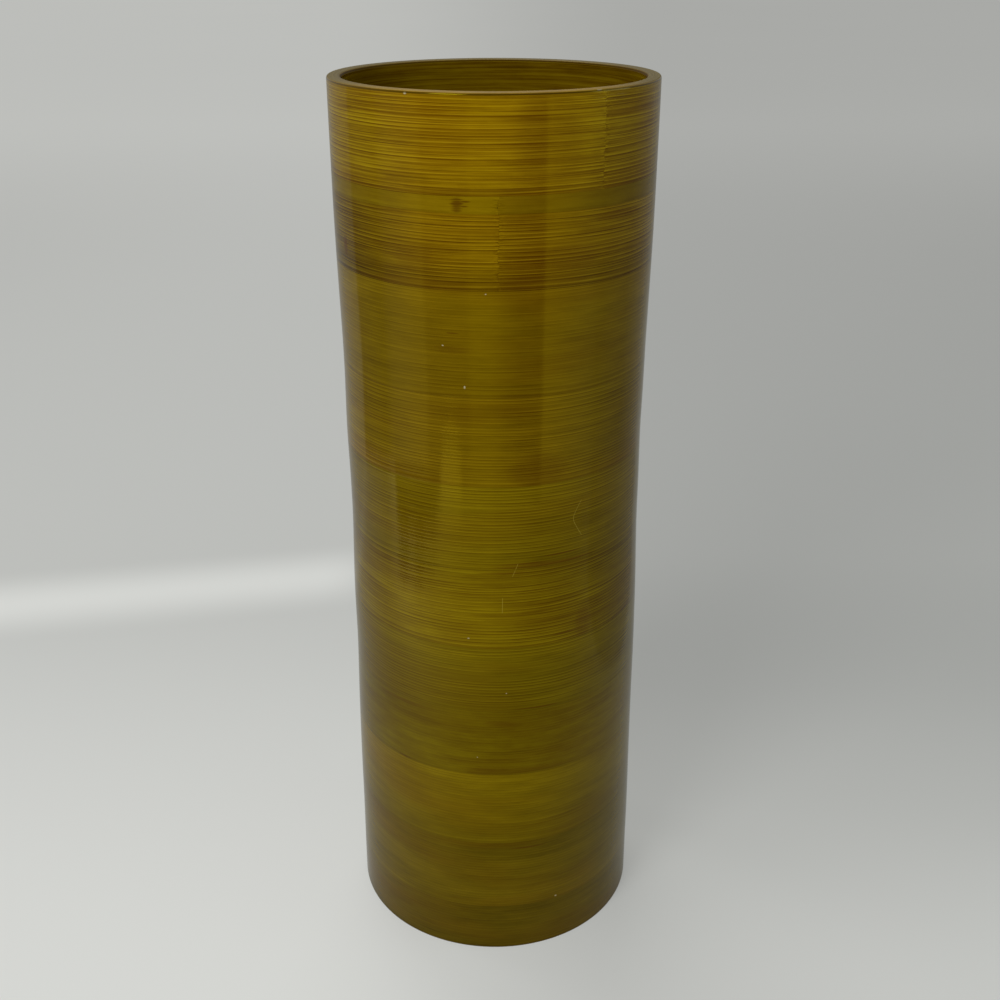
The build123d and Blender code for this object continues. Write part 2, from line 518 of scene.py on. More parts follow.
# Lays one zone of a ring on the bake map as rows stacked on each other, each row a part of the
# way round. Gives back the corners and where the next zone starts.
def stack_rows(ring, faces_j, faces_k, zone, rows, density, base):
    around = ring.around
    per_row = math.ceil((len(around) - 1) / rows)
    sides = [k for k, name in enumerate(ring.zone) if name == zone]
    first, last = ring.grain[sides[0]], ring.grain[sides[-1] + 1]
    row = faces_j // per_row
    row_start = around[row * per_row]
    u0 = BAKE_MARGIN + (around[faces_j] - row_start) * density
    u1 = BAKE_MARGIN + (around[faces_j + 1] - row_start) * density
    tall = (last - first) * density + BAKE_MARGIN
    v0 = base + row * tall + (ring.grain[faces_k] - first) * density
    v1 = base + row * tall + (ring.grain[faces_k + 1] - first) * density
    return corners(u0, u1, v0, v1), base + rows * tall


# Number of stacked rows and the size at which the visible zones of a band fit on its bake map.
def bake_fit(rings):
    around = 2 * math.pi * RIM_RADIUS / MM
    spans = {"outer": 0.0, "inner": 0.0}
    for ring in rings:
        for k, zone in enumerate(ring.zone):
            if zone in spans:
                spans[zone] += ring.grain[k + 1] - ring.grain[k]
    best = (0.0, 1)
    for rows in range(1, MOST_ROWS + 1):
        inner_rows = max(1, rows // 2)
        room = STRIPS_TALL - BAKE_MARGIN * (2 * rows + 2 * inner_rows)
        wide = (1 - 2 * BAKE_MARGIN) / (around / rows * ROW_SPARE)
        inner_wide = (1 - 2 * BAKE_MARGIN) / (around / inner_rows * ROW_SPARE) * 2
        tall = room / (rows * spans["outer"] + inner_rows * spans["inner"] / 2)
        best = max(best, (min(wide, inner_wide, tall), rows))
    return best


# Puts a mesh with one material into the scene.
def add_object(name, points, faces, material):
    mesh = bpy.data.meshes.new(name)
    mesh.from_pydata(points, [], faces)
    mesh.materials.append(material)
    thing = bpy.data.objects.new(name, mesh)
    bpy.context.scene.collection.objects.link(thing)
    return thing


class MeshParts:
    """Collects rings, coils and caps and turns them into one mesh with its maps."""

    def __init__(self):
        self.points = []
        self.quads = []
        self.caps = []
        self.maps = {layer: [] for layer in LAYERS}
        self.cap_maps = {layer: [] for layer in LAYERS}
        self.count = 0

    def add_faces(self, points, quads, grain, strip, place, bake):
        self.points.append(points.reshape(-1, 3))
        self.quads.append(quads + self.count)
        for layer, corners_there in zip(LAYERS, (grain, strip, place, bake)):
            self.maps[layer].append(corners_there)

    def add_cap(self, face, grain, strip, place, bake):
        self.caps.append(face)
        for layer, corners_there in zip(LAYERS, (grain, strip, place, bake)):
            self.cap_maps[layer].append(corners_there)

    # Adds a ring. The rows of its visible zones start at base on the bake map, and those of its
    # hidden faces at hidden_base. Gives back where the next ring's start.
    def add_ring(self, ring, bake_rows, density, base, hidden_base):
        columns, rows = ring.radius.shape
        points = round_axis(ring.radius, ring.angles[:, None] + ring.shift, ring.height)
        quads, j, k = quad_index(columns, rows)
        following = (k + 1) % rows
        grain = corners(ring.around[j], ring.around[j + 1], ring.grain[k], ring.grain[k + 1])
        tone = ring.tone[k]
        strip = corners(tone, tone, ring.low[k], ring.high[k])
        degrees = np.degrees(ring.angles)
        first = (degrees[j] + 180) % 360 - 180
        second = first + degrees[j + 1] - degrees[j]
        zones = np.array(ring.zone)[k]
        inside = (zones != "outer") * INSIDE_SHIFT
        heights = [ring.height[column, row] / MM + inside
                   for column, row in ((j, k), (j, following), (j + 1, k), (j + 1, following))]
        place = corners(first, second, *heights)
        bake = np.zeros((len(quads), 4, 2))
        for zone, fineness, rows_here in (("outer", density, bake_rows),
                                          ("inner", density / 2, max(1, bake_rows // 2))):
            chosen = zones == zone
            if chosen.any():
                bake[chosen], base = stack_rows(ring, j[chosen], k[chosen], zone, rows_here, fineness, base)
        chosen = zones == "hidden"
        sides, line = np.unique(k[chosen], return_inverse=True)
        u0 = BAKE_MARGIN + j[chosen] / columns * (1 - 2 * BAKE_MARGIN)
        u1 = BAKE_MARGIN + (j[chosen] + 1) / columns * (1 - 2 * BAKE_MARGIN)
        v0 = hidden_base + line * HIDDEN_ROW
        bake[chosen] = corners(u0, u1, v0, v0 + 0.8 * HIDDEN_ROW)
        self.add_faces(points, quads, grain, strip, place, bake)
        hidden_base += len(sides) * HIDDEN_ROW
        loop = np.arange(rows) + self.count
        last = (columns - 1) * rows
        self.add_end(loop, ring, 0, hidden_base)
        self.add_end(last + loop[::-1], ring, columns - 1, hidden_base + HIDDEN_CAP)
        self.count += columns * rows
        return base, hidden_base + 2 * HIDDEN_CAP

    # Closes one end of a ring with a cap.
    def add_end(self, cap, ring, column, hidden_base):
        order = slice(None, None, -1) if cap[0] > cap[-1] else slice(None)
        radius = ring.radius[column][order] / MM
        height = ring.height[column][order] / MM
        across = BAKE_MARGIN + (height - height.min()) / max(1.0, np.ptp(height)) * 0.2
        up = hidden_base + (radius - radius.min()) * MM / WALL * 0.8 * HIDDEN_ROW
        self.add_cap(cap,
                     np.stack([radius, height], 1),
                     np.full((len(radius), 2), 0.5),
                     np.stack([radius * 0, height + INSIDE_SHIFT], 1),
                     np.stack([across, up], 1))

    def build(self, name, material):
        points = np.concatenate(self.points)
        faces = np.concatenate(self.quads).tolist() + [cap.tolist() for cap in self.caps]
        piece = add_object(name, points.tolist(), faces, material)
        for layer, parts in self.maps.items():
            flat = np.concatenate([part.reshape(-1, 2) for part in parts + self.cap_maps[layer]])
            piece.data.uv_layers.new(name=layer).data.foreach_set("uv", flat.ravel())
        piece.data.polygons.foreach_set("use_smooth", [True] * len(faces))
        piece.data.set_sharp_from_angle(angle=SHARP_ANGLE)
        return piece


# Where the discs of a coil's top and bottom lie on the bake map. The sides of its turns lie in
# rows in the upper left corner, which the discs leave free: where these rows start, the height
# and width that they take, and how much of its row a side fills. The coil's two cut ends and
# the side of the pin lie in places of their own.
DISC_RADIUS = 0.285
DISC_PLACES = {"top": (0.293, 0.293), "bottom": (0.707, 0.707)}
SIDE_ROWS = 0.61
SIDE_ROWS_TALL = 0.36
SIDE_ROWS_LEFT = 0.005
SIDE_ROWS_WIDE = 0.38
SIDE_SHARE = 0.7
CUT_ENDS = ((0.39, 0.985), (0.39, 0.975))
CUT_END_SIZE = 0.006
PIN_PLACE = (0.6, 0.02)
PIN_ROW = 0.05

# Tone of a coil's strip, how much and how fast it changes along the strip, and how far apart on
# the grain map the sides of its section are
COIL_TONE = 0.5
COIL_TONE_CHANGE = 0.4
COIL_TONE_PACE = 0.013
COIL_GRAIN = 0.4


# One strip wound into a flat coil. It grows out of the inner circle over its first turn and
# runs out into the outer circle over its last one.
def add_coil(parts, inside, outside, strip, low, high, rng):
    turns = (outside - inside) / strip
    first, last = COIL_ENDS[0], turns + COIL_ENDS[1]
    count = int((last - first) * COLUMNS_PER_TURN)
    turn = np.linspace(first, last, count)
    angles = turn * 2 * math.pi
    inner = np.maximum(inside, inside + (turn - 1) * strip) + COIL_GAP / 2
    outer = np.minimum(outside, inside + turn * strip) - COIL_GAP / 2
    keys = np.arange(0, turns + 2, 0.25)
    top = high + np.interp(turn, keys, rng.uniform(-1, 0, len(keys))) * COIL_STEP
    bottom = low + np.interp(turn, keys, rng.uniform(0, 1, len(keys))) * COIL_STEP
    section = [(1.0, bottom + COIL_EASE, "side"), (1.0, top - COIL_EASE, "top"),
               (0.85, top - COIL_EASE * 0.2, "top"), (0.5, top, "top"),
               (0.15, top - COIL_EASE * 0.2, "top"), (0.0, top - COIL_EASE, "side"),
               (0.0, bottom + COIL_EASE, "bottom"), (0.5, bottom, "bottom")]
    rows = len(section)
    across = np.array([share for share, z, side in section])
    radius = inner[:, None] + across * (outer - inner)[:, None]
    height = np.stack([z for share, z, side in section], 1)
    points = round_axis(radius, angles[:, None], height)
    quads, j, k = quad_index(count, rows)
    around = np.cumsum(np.r_[0, np.hypot(*np.diff(points[:, 0, :2], axis=0).T)]) / MM
    tone = COIL_TONE + COIL_TONE_CHANGE * np.sin(around[j] * COIL_TONE_PACE)
    nowhere = np.zeros(len(quads))
    sides = np.array([side for share, z, side in section])[k]
    bake = coil_bake(points, quads, sides, outside, turns, turn, j, k)
    parts.add_faces(points, quads,
                    corners(around[j], around[j + 1], k * COIL_GRAIN, (k + 1) * COIL_GRAIN),
                    corners(tone, tone, across[k], across[(k + 1) % rows]),
                    corners(nowhere, nowhere, nowhere + INSIDE_SHIFT, nowhere + INSIDE_SHIFT),
                    bake)
    loop = np.arange(rows) + parts.count
    flat = np.full((rows, 2), 0.5)
    caps = ((loop, 0), ((count - 1) * rows + loop[::-1], count - 1))
    for (cap, column), place in zip(caps, CUT_ENDS):
        spread = np.stack([across, (height[column] - low) / (high - low)], 1)
        parts.add_cap(cap, flat, flat, flat * 0 + INSIDE_SHIFT, spread * CUT_END_SIZE + place)
    parts.count += count * rows


# A coil on the bake map: its top and bottom as discs, and the side of each turn as a row.
def coil_bake(points, quads, sides, outside, turns, turn, j, k):
    flat = points.reshape(-1, 3)[quads][:, :, :2] / outside * DISC_RADIUS
    bake = np.zeros(flat.shape)
    for side, place in DISC_PLACES.items():
        bake[sides == side] = flat[sides == side] + place
    tall = SIDE_ROWS_TALL / (2 * math.ceil(turns + 1) + 2)
    along = SIDE_ROWS_LEFT + turn[j] % 1 * SIDE_ROWS_WIDE
    row = SIDE_ROWS + (np.floor(turn[j]) * 2 + (k == 0)) * tall
    step = (turn[1] - turn[0]) * SIDE_ROWS_WIDE
    chosen = sides == "side"
    bake[chosen] = corners(along, along + step, row, row + SIDE_SHARE * tall)[chosen]
    return bake


# Round pin in the middle of the core, with an eased edge above and below.
def add_pin(parts, radius, low, high, outside):
    around = PIN_COLUMNS
    angles = np.linspace(0, 2 * math.pi, around, endpoint=False)
    points = [(0, 0, low)]
    for share, rise in PIN_OUTLINE:
        points += round_axis(share * radius, angles, low + rise * (high - low)).tolist()
    points.append((0, 0, high))
    rows = len(PIN_OUTLINE) - 1
    faces = []
    for column in range(around):
        following = (column + 1) % around
        faces.append((0, 1 + following, 1 + column))
        for row in range(rows):
            a, b = 1 + row * around + column, 1 + row * around + following
            faces.append((a, b, b + around, a + around))
        last = 1 + rows * around
        faces.append((last + column, last + following, len(points) - 1))
    for face in faces:
        corner = np.array([points[index] for index in face])
        parts.add_cap(np.array(face) + parts.count,
                      corner[:, :2] / MM * 0.2,
                      np.full((len(face), 2), 0.5),
                      np.full((len(face), 2), INSIDE_SHIFT),
                      pin_bake(corner, low, high, outside))
    parts.count += len(points)
    parts.points.append(np.array(points))


# A face of the pin on the bake map: in the middle of a disc, or in a row of its own.
def pin_bake(corner, low, high, outside):
    flat = corner[:, :2] / outside * DISC_RADIUS
    share = (corner[:, 2].mean() - low) / (high - low)
    if share > 0.9:
        return flat + DISC_PLACES["top"]
    if share < 0.1:
        return flat + DISC_PLACES["bottom"]
    turn = np.arctan2(corner[:, 0], -corner[:, 1]) % (2 * math.pi)
    turn = np.where((turn < 0.01) & (turn.max() > math.pi), 2 * math.pi, turn)
    rise = (corner[:, 2] - low) / (high - low)
    return np.stack([PIN_PLACE[0] + turn * PIN_ROW, PIN_PLACE[1] + rise * PIN_ROW], 1)


# Puts a piece on its body, in the place of its CAD node.
def hand_over(piece, band):
    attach(piece, "root")
    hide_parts(band.node)


def build_floor():
    wound = {
        "base_coil": (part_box("base_core")[1].x + GLUE_LINE, COIL_STRIP),
        "base_core": (PIN_RADIUS + GLUE_LINE, CORE_STRIP),
    }
    for number, (node, (inside, strip)) in enumerate(wound.items()):
        low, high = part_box(node)
        rng = np.random.default_rng(FLOOR_SEED + number)
        outside = high.x - ROOM if node == "base_coil" else high.x - GLUE_LINE
        parts = MeshParts()
        add_coil(parts, inside, outside, strip, low.z + 0.01 * MM, high.z - 0.01 * MM, rng)
        if node == "base_core":
            add_pin(parts, PIN_RADIUS, low.z + 0.02 * MM, high.z - 0.02 * MM, outside)
        band = Band(node, "base_bamboo", 0, 1, 1, 1, 0, 1, 1, 1, 0.5, 0.9, 0.2, 31 + number)
        hand_over(parts.build("wound_" + node, Bamboo(band).build()), band)


# Materials

# Colours as display values out of 255, first the strips' from dark to light, and the shares at
# which these four lie
LOOKS = {
    "striped_bamboo": [(80, 52, 0), (112, 82, 2), (132, 104, 4), (150, 122, 10)],
    "pale_bamboo": [(86, 62, 0), (118, 94, 2), (134, 110, 6), (148, 124, 12)],
    "plain_bamboo": [(80, 58, 0), (110, 86, 2), (124, 99, 4), (140, 116, 10)],
    "dark_bamboo": [(66, 48, 2), (92, 72, 3), (106, 84, 6), (122, 98, 12)],
    "base_bamboo": [(70, 52, 4), (98, 78, 10), (114, 92, 16), (130, 108, 24)],
}
LOOK_PLACES = (0.1, 0.42, 0.62, 0.95)

LINE_COLOUR = (74, 40, 0)
# Painted highlight line on the strips
HIGHLIGHT_LINE_COLOUR = (176, 146, 20)
BROWN_PATCH_COLOUR = (104, 66, 2)
MARK_COLOURS = {"dark": (84, 44, 4), "pale": (196, 186, 150), "scratch": (188, 168, 66)}
RIM_FACE_COLOUR = (148, 121, 60)
# Painted reflection and shade on the rim face's sides, then the colour of the rim's dark edge line and of the
# painted shade on its inner edge
RIM_SIDE_REFLECTION_COLOUR = (100, 92, 66)
RIM_EDGE_AND_SHADE_COLOUR = (64, 44, 6)

# Lacquer. Its roughness goes from the third value to the fourth as the fibre's noise goes from
# the first to the second, and so do the other four values with a noise below.
LACQUER_TINT = (1.0, 0.76, 0.0, 1.0)
LACQUER_IOR = 1.45
LACQUER_ROUGHNESS = (0.2, 0.8, 0.07, 0.12)
PALE_ROUGHNESS = 0.5
# Painted shade inside the vase, and how strong the lines are there
INSIDE_SHADE = 0.50
INSIDE_LINES = 0.4
BUMP_STRENGTH = 0.06
BUMP_DISTANCE = 0.1 * MM
BLACK = (0, 0, 0, 1)

# Noises of the bamboo: how fine each one is along and up the strips per millimetre, its seed,
# its detail and roughness, and how far it moves the strips' colour from dark to light. A
# band's stripes strengthen the first two. The bristle only shows near a joint.
Noise = namedtuple("Noise", "along up seed detail roughness change")
NOISES = {
    "streak": Noise(0.010, 0.9, 0, 2.0, 0.5, 0.45),
    "hair": Noise(0.016, 3.1, 1, 2.0, 0.6, 1.0),
    "fibre": Noise(0.07, 6.0, 3, 2.0, 0.6, 0.25),
    "patch": Noise(0.02, 0.10, 5, 2.0, 0.5, 0.35),
    "mottle": Noise(0.045, 0.26, 20, 4.0, 0.65, 0.60),
    "bristle": Noise(0.35, 2.6, 4, 3.0, 0.7, 1.6),
    "fade": Noise(0.020, 0.95, 9, 1.0, 0.5, 0.0),
    "brown": Noise(0.011, 0.05, 12, 2.0, 0.5, 0.0),
}
TONE_CHANGE = 0.16
SEED_STEP = 7.3
BROWN_SHARE = 0.30
LINE_STRENGTH = 0.80
GLINT_STRENGTH = 0.45
EDGE_STRENGTH = 0.80

# Where the dark line and the painted highlight line lie, as shares of a strip up from its lower
# edge, or down from its upper one. The noises between which they and the dark lowest strip come and go.
LINE_ABOVE = (0.03, 0.22)
LINE_BELOW = (0.0, 0.14)
GLINT_FROM = (0.20, 0.34)
GLINT_TO = (0.36, 0.55)
FADING = (0.36, 0.60, 0.10, 1.0)
EDGE_FADING = (0.34, 0.62, 0.10, 1.0)
EDGE_FINENESS = 0.018
BROWN_FROM = (0.46, 0.66)

# Angles between which a band's painted light and shade changes: towards the sides in front, and back again
# behind
LEFT_SIDE = (-62, -12)
LEFT_BACK = (-160, -95)
RIGHT_SIDE = (4, 55)
RIGHT_BACK = (95, 160)

# The upper bands are greener towards the sides than in front.
GREEN_MIDDLE = -3
GREEN_SIDES = (18, 42)
GREEN_CHANGE = (-0.03, 0.06)
GREEN_HEIGHTS = (240, 262)

# Marks and scratches: how strong each kind is, where its edge fades and how ragged it gets
MARK_STRENGTH = {"knot": 0.85, "smudge_and_shade": 0.34, "crack": 0.7, "speck": 0.9, "chip": 0.95}
PALE_MARKS = ("speck", "chip")
MARK_EDGE = (0.1, 1.3)
RAGGED = 4
SCRATCH_BEND = 2.2
SCRATCH_EDGE = (0.03, 0.14)
SCRATCH_STRENGTH = 0.55
SCRATCH_FADE = 0.4
DEGREE_MM = math.radians(1) * RIM_RADIUS / MM

# A joint in front is rough this near to it, in degrees. Joints further round aren't seen.
JOINT_ROUGH = (0.2, 3.2)
JOINT_SEEN = 60

# Heights on the map between which a place counts as inside
INSIDE = (480, 520)

# The rim's dark edge line, its dull face and its inner edge, which is rougher and carries a painted
# shade, as heights from its top. The inner edge starts between these places across the grain.
# Between the angles of its sides, the face turns greyer and darker with a painted reflection and shade.
EDGE_FROM = (-1.15, -0.9)
EDGE_TO = (-0.55, -0.3)
FACE_FROM = (-0.5, -0.15)
INNER_FROM = (-1.9, -1.5)
INNER_GRAIN = (55, 60)
RIM_SIDES = (25, 75)
RIM_FIBRE = (0.3, 0.7, 0.75, 1.1)
EDGE_SHARE = 0.85
FACE_SHARE = 0.85
INNER_SHADE_SHARE = 0.7
WORN_ROUGHNESS = 0.38
WORN_SPECULAR = 0.10


# The linear values of a colour of display values out of 255.
def display(colour):
    shares = [value / 255 for value in colour]
    return (*(s / 12.92 if s <= 0.04045 else ((s + 0.055) / 1.055) ** 2.4 for s in shares), 1)


class Nodes:
    """Short names for the few kinds of shader node that the materials are built from."""

    def __init__(self, name):
        self.material = bpy.data.materials.new(name)
        self.material.use_nodes = True
        self.tree = self.material.node_tree
        self.shader = self.tree.nodes["Principled BSDF"]

    # Links a node's output to a socket, or sets a plain value on the socket itself.
    def put(self, socket, value):
        if isinstance(value, bpy.types.NodeSocket):
            self.tree.links.new(value, socket)
        else:
            socket.default_value = value

    def put_all(self, node, inputs):
        for name, value in inputs.items():
            self.put(node.inputs[name], value)

    def new(self, kind, *values, **settings):
        node = self.tree.nodes.new(kind)
        for key, value in settings.items():
            setattr(node, key, value)
        for socket, value in zip(node.inputs, values):
            self.put(socket, value)
        return node

    def math(self, operation, *values):
        return self.new("ShaderNodeMath", *values, operation=operation).outputs[0]

    def add(self, first, *others):
        for other in others:
            first = self.math("ADD", first, other)
        return first

    def minus(self, a, b):
        return self.math("SUBTRACT", a, b)

    def times(self, first, *others):
        for other in others:
            first = self.math("MULTIPLY", first, other)
        return first

    def larger(self, a, b):
        return self.math("MAXIMUM", a, b)

    def away(self, a, b):
        return self.math("ABSOLUTE", self.minus(a, b))

    # Moves a value by how far another one lies from 0.5.
    def vary(self, value, other, strength):
        return self.add(value, self.times(self.minus(other, 0.5), strength))

    def vector(self, x, y, z=0.0):
        return self.new("ShaderNodeCombineXYZ", x, y, z).outputs[0]

    def split(self, vector):
        return self.new("ShaderNodeSeparateXYZ", vector).outputs

    def uv(self, layer):
        return self.split(self.new("ShaderNodeUVMap", uv_map=layer).outputs[0])[:2]

    def object_place(self):
        return self.new("ShaderNodeTexCoord").outputs["Object"]

    def noise(self, vector, detail=2.0, roughness=0.5):
        node = self.new("ShaderNodeTexNoise", noise_dimensions="3D")
        self.put_all(node, {"Vector": vector, "Scale": 1.0, "Detail": detail, "Roughness": roughness})
        return node.outputs[0]

    def smooth(self, value, low, high, at_low=0.0, at_high=1.0):
        values = (value, low, high, at_low, at_high)
        return self.new("ShaderNodeMapRange", *values, interpolation_type="SMOOTHSTEP").outputs[0]

    def fall(self, value, low, high, at_low=1.0, at_high=0.0):
        return self.smooth(value, low, high, at_low, at_high)

    def mix(self, share, first, second):
        node = self.new("ShaderNodeMix", share, data_type="RGBA")
        self.put(node.inputs[6], first)
        self.put(node.inputs[7], second)
        return node.outputs[2]

    def scaled(self, colour, shade, green=1.0):
        node = self.new("ShaderNodeVectorMath", colour, operation="SCALE")
        self.put(node.inputs["Scale"], shade)
        tint = self.vector(1.0, green, 1.0)
        return self.new("ShaderNodeVectorMath", node.outputs[0], tint, operation="MULTIPLY").outputs[0]

    def ramp(self, share, stops):
        node = self.new("ShaderNodeValToRGB", share)
        elements = node.color_ramp.elements
        while len(elements) < len(stops):
            elements.new(0.5)
        for element, (place, colour) in zip(elements, stops):
            element.position = place
            element.color = colour
        return node.outputs[0]


class Bamboo(Nodes):
    """Lacquered bamboo of one band."""

    def __init__(self, band):
        super().__init__(band.node)
        self.band = band
        self.seed = band.seed * SEED_STEP
        self.along, self.up = self.uv("Grain")
        self.tone, self.across = self.uv("Strip")
        self.angle, self.height = self.uv("Place")
        self.inside = self.smooth(self.height, *INSIDE)
        self.hair = self.grain("hair")
        self.fibre = self.grain("fibre")

    def grain(self, name):
        noise = NOISES[name]
        along = self.times(self.along, noise.along)
        place = self.vector(along, self.times(self.up, noise.up), self.seed + noise.seed)
        return self.noise(place, noise.detail, noise.roughness)

    # Colour of the strips, before lines and marks are drawn on them.
    def strip_colour(self):
        band = self.band
        share = self.vary(0.5, self.tone, TONE_CHANGE * band.stripes)
        share = self.vary(share, self.grain("streak"), NOISES["streak"].change * band.stripes)
        share = self.vary(share, self.hair, NOISES["hair"].change * band.stripes)
        share = self.vary(share, self.fibre, NOISES["fibre"].change)
        for name in ("patch", "mottle"):
            share = self.vary(share, self.grain(name), NOISES[name].change)
        if abs(band.joint) <= JOINT_SEEN and band.slot != "base_bamboo":
            near = self.fall(self.away(self.angle, band.joint), *JOINT_ROUGH)
            share = self.vary(share, self.grain("bristle"), self.times(near, NOISES["bristle"].change))
        stops = [(place, display(colour)) for place, colour in zip(LOOK_PLACES, LOOKS[band.slot])]
        brown = self.times(self.smooth(self.grain("brown"), *BROWN_FROM), BROWN_SHARE)
        return self.mix(brown, self.ramp(share, stops), display(BROWN_PATCH_COLOUR))

    # Draws the dark groove between two strips, a painted highlight line above it and the band's dark
    # lowest strip. They come and go along the strips.
    def lines(self, colour):
        band = self.band
        strength = self.times(self.smooth(self.grain("fade"), *FADING),
                              self.fall(self.inside, 0, 1, 1.0, INSIDE_LINES))
        line = self.larger(self.fall(self.across, *LINE_ABOVE),
                           self.fall(self.minus(1.0, self.across), *LINE_BELOW))
        line = self.times(line, strength, LINE_STRENGTH * band.lines)
        painted_highlight = self.times(self.smooth(self.across, *GLINT_FROM), self.fall(self.across, *GLINT_TO))
        painted_highlight = self.times(painted_highlight, strength, GLINT_STRENGTH * band.lines)
        place = self.vector(self.times(self.along, EDGE_FINENESS), self.seed, self.seed + 15)
        edge = self.times(self.fall(self.tone, -EDGE_TONE * band.edge, 0.0),
                          self.smooth(self.noise(place, 1.0), *EDGE_FADING), EDGE_STRENGTH * band.edge)
        colour = self.mix(painted_highlight, colour, display(HIGHLIGHT_LINE_COLOUR))
        for share in (line, edge):
            colour = self.mix(share, colour, display(LINE_COLOUR))
        return colour

    # Shade of the band: painted light and shade round the vase, where it goes back to the middle one
    # behind, the change to the right of its joint, the shade up the band, and painted shade inside.
    def shade(self):
        band = self.band
        left = self.times(self.fall(self.angle, *LEFT_SIDE), self.smooth(self.angle, *LEFT_BACK))
        right = self.times(self.smooth(self.angle, *RIGHT_SIDE), self.fall(self.angle, *RIGHT_BACK))
        shade = self.add(band.middle, self.times(left, band.left - band.middle),
                         self.times(right, band.right - band.middle))
        if band.after:
            shade = self.add(shade, self.fall(self.along, 0, 180 * DEGREE_MM, band.after))
        low, high = (corner.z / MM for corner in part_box(band.node))
        tall = high - low
        top = self.smooth(self.height, low + 0.5 * tall, low + 0.95 * tall, 1.0, band.top)
        bottom = self.smooth(self.height, low + 0.08 * tall, low + 0.5 * tall, band.bottom, 1.0)
        return self.times(shade, self.times(top, bottom), self.fall(self.inside, 0, 1, 1.0, INSIDE_SHADE))

    def green(self):
        sides = self.smooth(self.away(self.angle, GREEN_MIDDLE), *GREEN_SIDES, *GREEN_CHANGE)
        upper = self.smooth(self.height, *GREEN_HEIGHTS)
        return self.times(self.add(1.0, self.times(sides, upper)), self.band.green)

    def mark_mask(self, mark):
        across = self.times(self.minus(self.angle, mark.angle), DEGREE_MM / mark.along)
        above = self.math("DIVIDE", self.minus(self.height, mark.height), mark.up)
        away = self.add(self.times(across, across), self.times(above, above))
        away = self.vary(away, self.fibre, RAGGED * mark.ragged)
        return self.fall(away, *MARK_EDGE, MARK_STRENGTH[mark.kind])

    def scratch_mask(self, scratch):
        rise = self.minus(self.height, scratch.height)
        bend = self.math("SQRT", self.add(self.times(rise, rise), SCRATCH_BEND ** 2))
        bend = self.times(self.minus(bend, SCRATCH_BEND), (scratch.above - scratch.below) / 2)
        lean = self.times(rise, (scratch.above + scratch.below) / 2)
        away = self.away(self.angle, self.add(lean, bend, scratch.angle))
        return self.times(
            self.fall(away, *SCRATCH_EDGE, SCRATCH_STRENGTH),
            self.smooth(self.height, scratch.low, scratch.low + SCRATCH_FADE),
            self.fall(self.height, scratch.high - SCRATCH_FADE, scratch.high))

    # Where the band's marks lie, for each of their colours.
    def marks(self):
        masks = {"dark": 0.0, "pale": 0.0, "scratch": 0.0}
        for mark in MARKS:
            if mark.node == self.band.node:
                kind = "pale" if mark.kind in PALE_MARKS else "dark"
                masks[kind] = self.larger(masks[kind], self.mark_mask(mark))
        for scratch in SCRATCHES:
            if scratch.node == self.band.node:
                masks["scratch"] = self.larger(masks["scratch"], self.scratch_mask(scratch))
        return masks

    def near_top(self, heights, at_low=0.0, at_high=1.0):
        low, high = heights
        return self.smooth(self.height, HEIGHT / MM + low, HEIGHT / MM + high, at_low, at_high)

    # The flat rim is sanded and dull, with a thin dark line along both of its rounded edges. Painted
    # shade darkens its inner rounded edge, and a painted reflection and shade turn its face greyer and
    # darker towards the sides.
    def rim(self, colour, roughness):
        dark = display(RIM_EDGE_AND_SHADE_COLOUR)
        outside = self.fall(self.height, *INSIDE)
        edge = self.times(self.near_top(EDGE_FROM), self.near_top(EDGE_TO, EDGE_SHARE, 0))
        face = self.times(self.near_top(FACE_FROM), outside)
        inner = self.times(self.smooth(self.up, *INNER_GRAIN), self.near_top(INNER_FROM), outside)
        # Painted reflection and shade: the face turns greyer and darker towards the sides.
        side = self.smooth(self.math("ABSOLUTE", self.angle), *RIM_SIDES)
        dull = self.mix(side, display(RIM_FACE_COLOUR), display(RIM_SIDE_REFLECTION_COLOUR))
        dull = self.scaled(dull, self.smooth(self.fibre, *RIM_FIBRE))
        colour = self.mix(edge, colour, dark)
        colour = self.mix(self.times(face, FACE_SHARE), colour, dull)
        # Painted shade over the inner rounded edge.
        inner_shade = self.minus(INNER_SHADE_SHARE, self.times(face, INNER_SHADE_SHARE))
        colour = self.mix(self.times(inner, inner_shade), colour, dark)
        worn = self.larger(face, inner)
        self.put(self.shader.inputs["Specular IOR Level"], self.fall(worn, 0, 1, 0.5, WORN_SPECULAR))
        return colour, self.add(roughness, self.times(worn, WORN_ROUGHNESS))

    def build(self):
        colour = self.scaled(self.lines(self.strip_colour()), self.shade(), self.green())
        masks = self.marks()
        for kind, tint in MARK_COLOURS.items():
            colour = self.mix(masks[kind], colour, display(tint))
        roughness = self.smooth(self.fibre, *LACQUER_ROUGHNESS)
        roughness = self.add(roughness, self.times(masks["pale"], PALE_ROUGHNESS))
        if self.band.node == "rim_band":
            colour, roughness = self.rim(colour, roughness)
        relief = self.add(self.times(self.fibre, 0.5), self.times(self.hair, 0.5))
        bump = self.new("ShaderNodeBump")
        self.put_all(bump, {"Strength": BUMP_STRENGTH, "Distance": BUMP_DISTANCE, "Height": relief})
        self.put_all(self.shader, {
            "Base Color": colour,
            "Normal": bump.outputs[0],
            "Roughness": roughness,
            "Specular Tint": LACQUER_TINT,
            "IOR": LACQUER_IOR,
        })
        return self.material


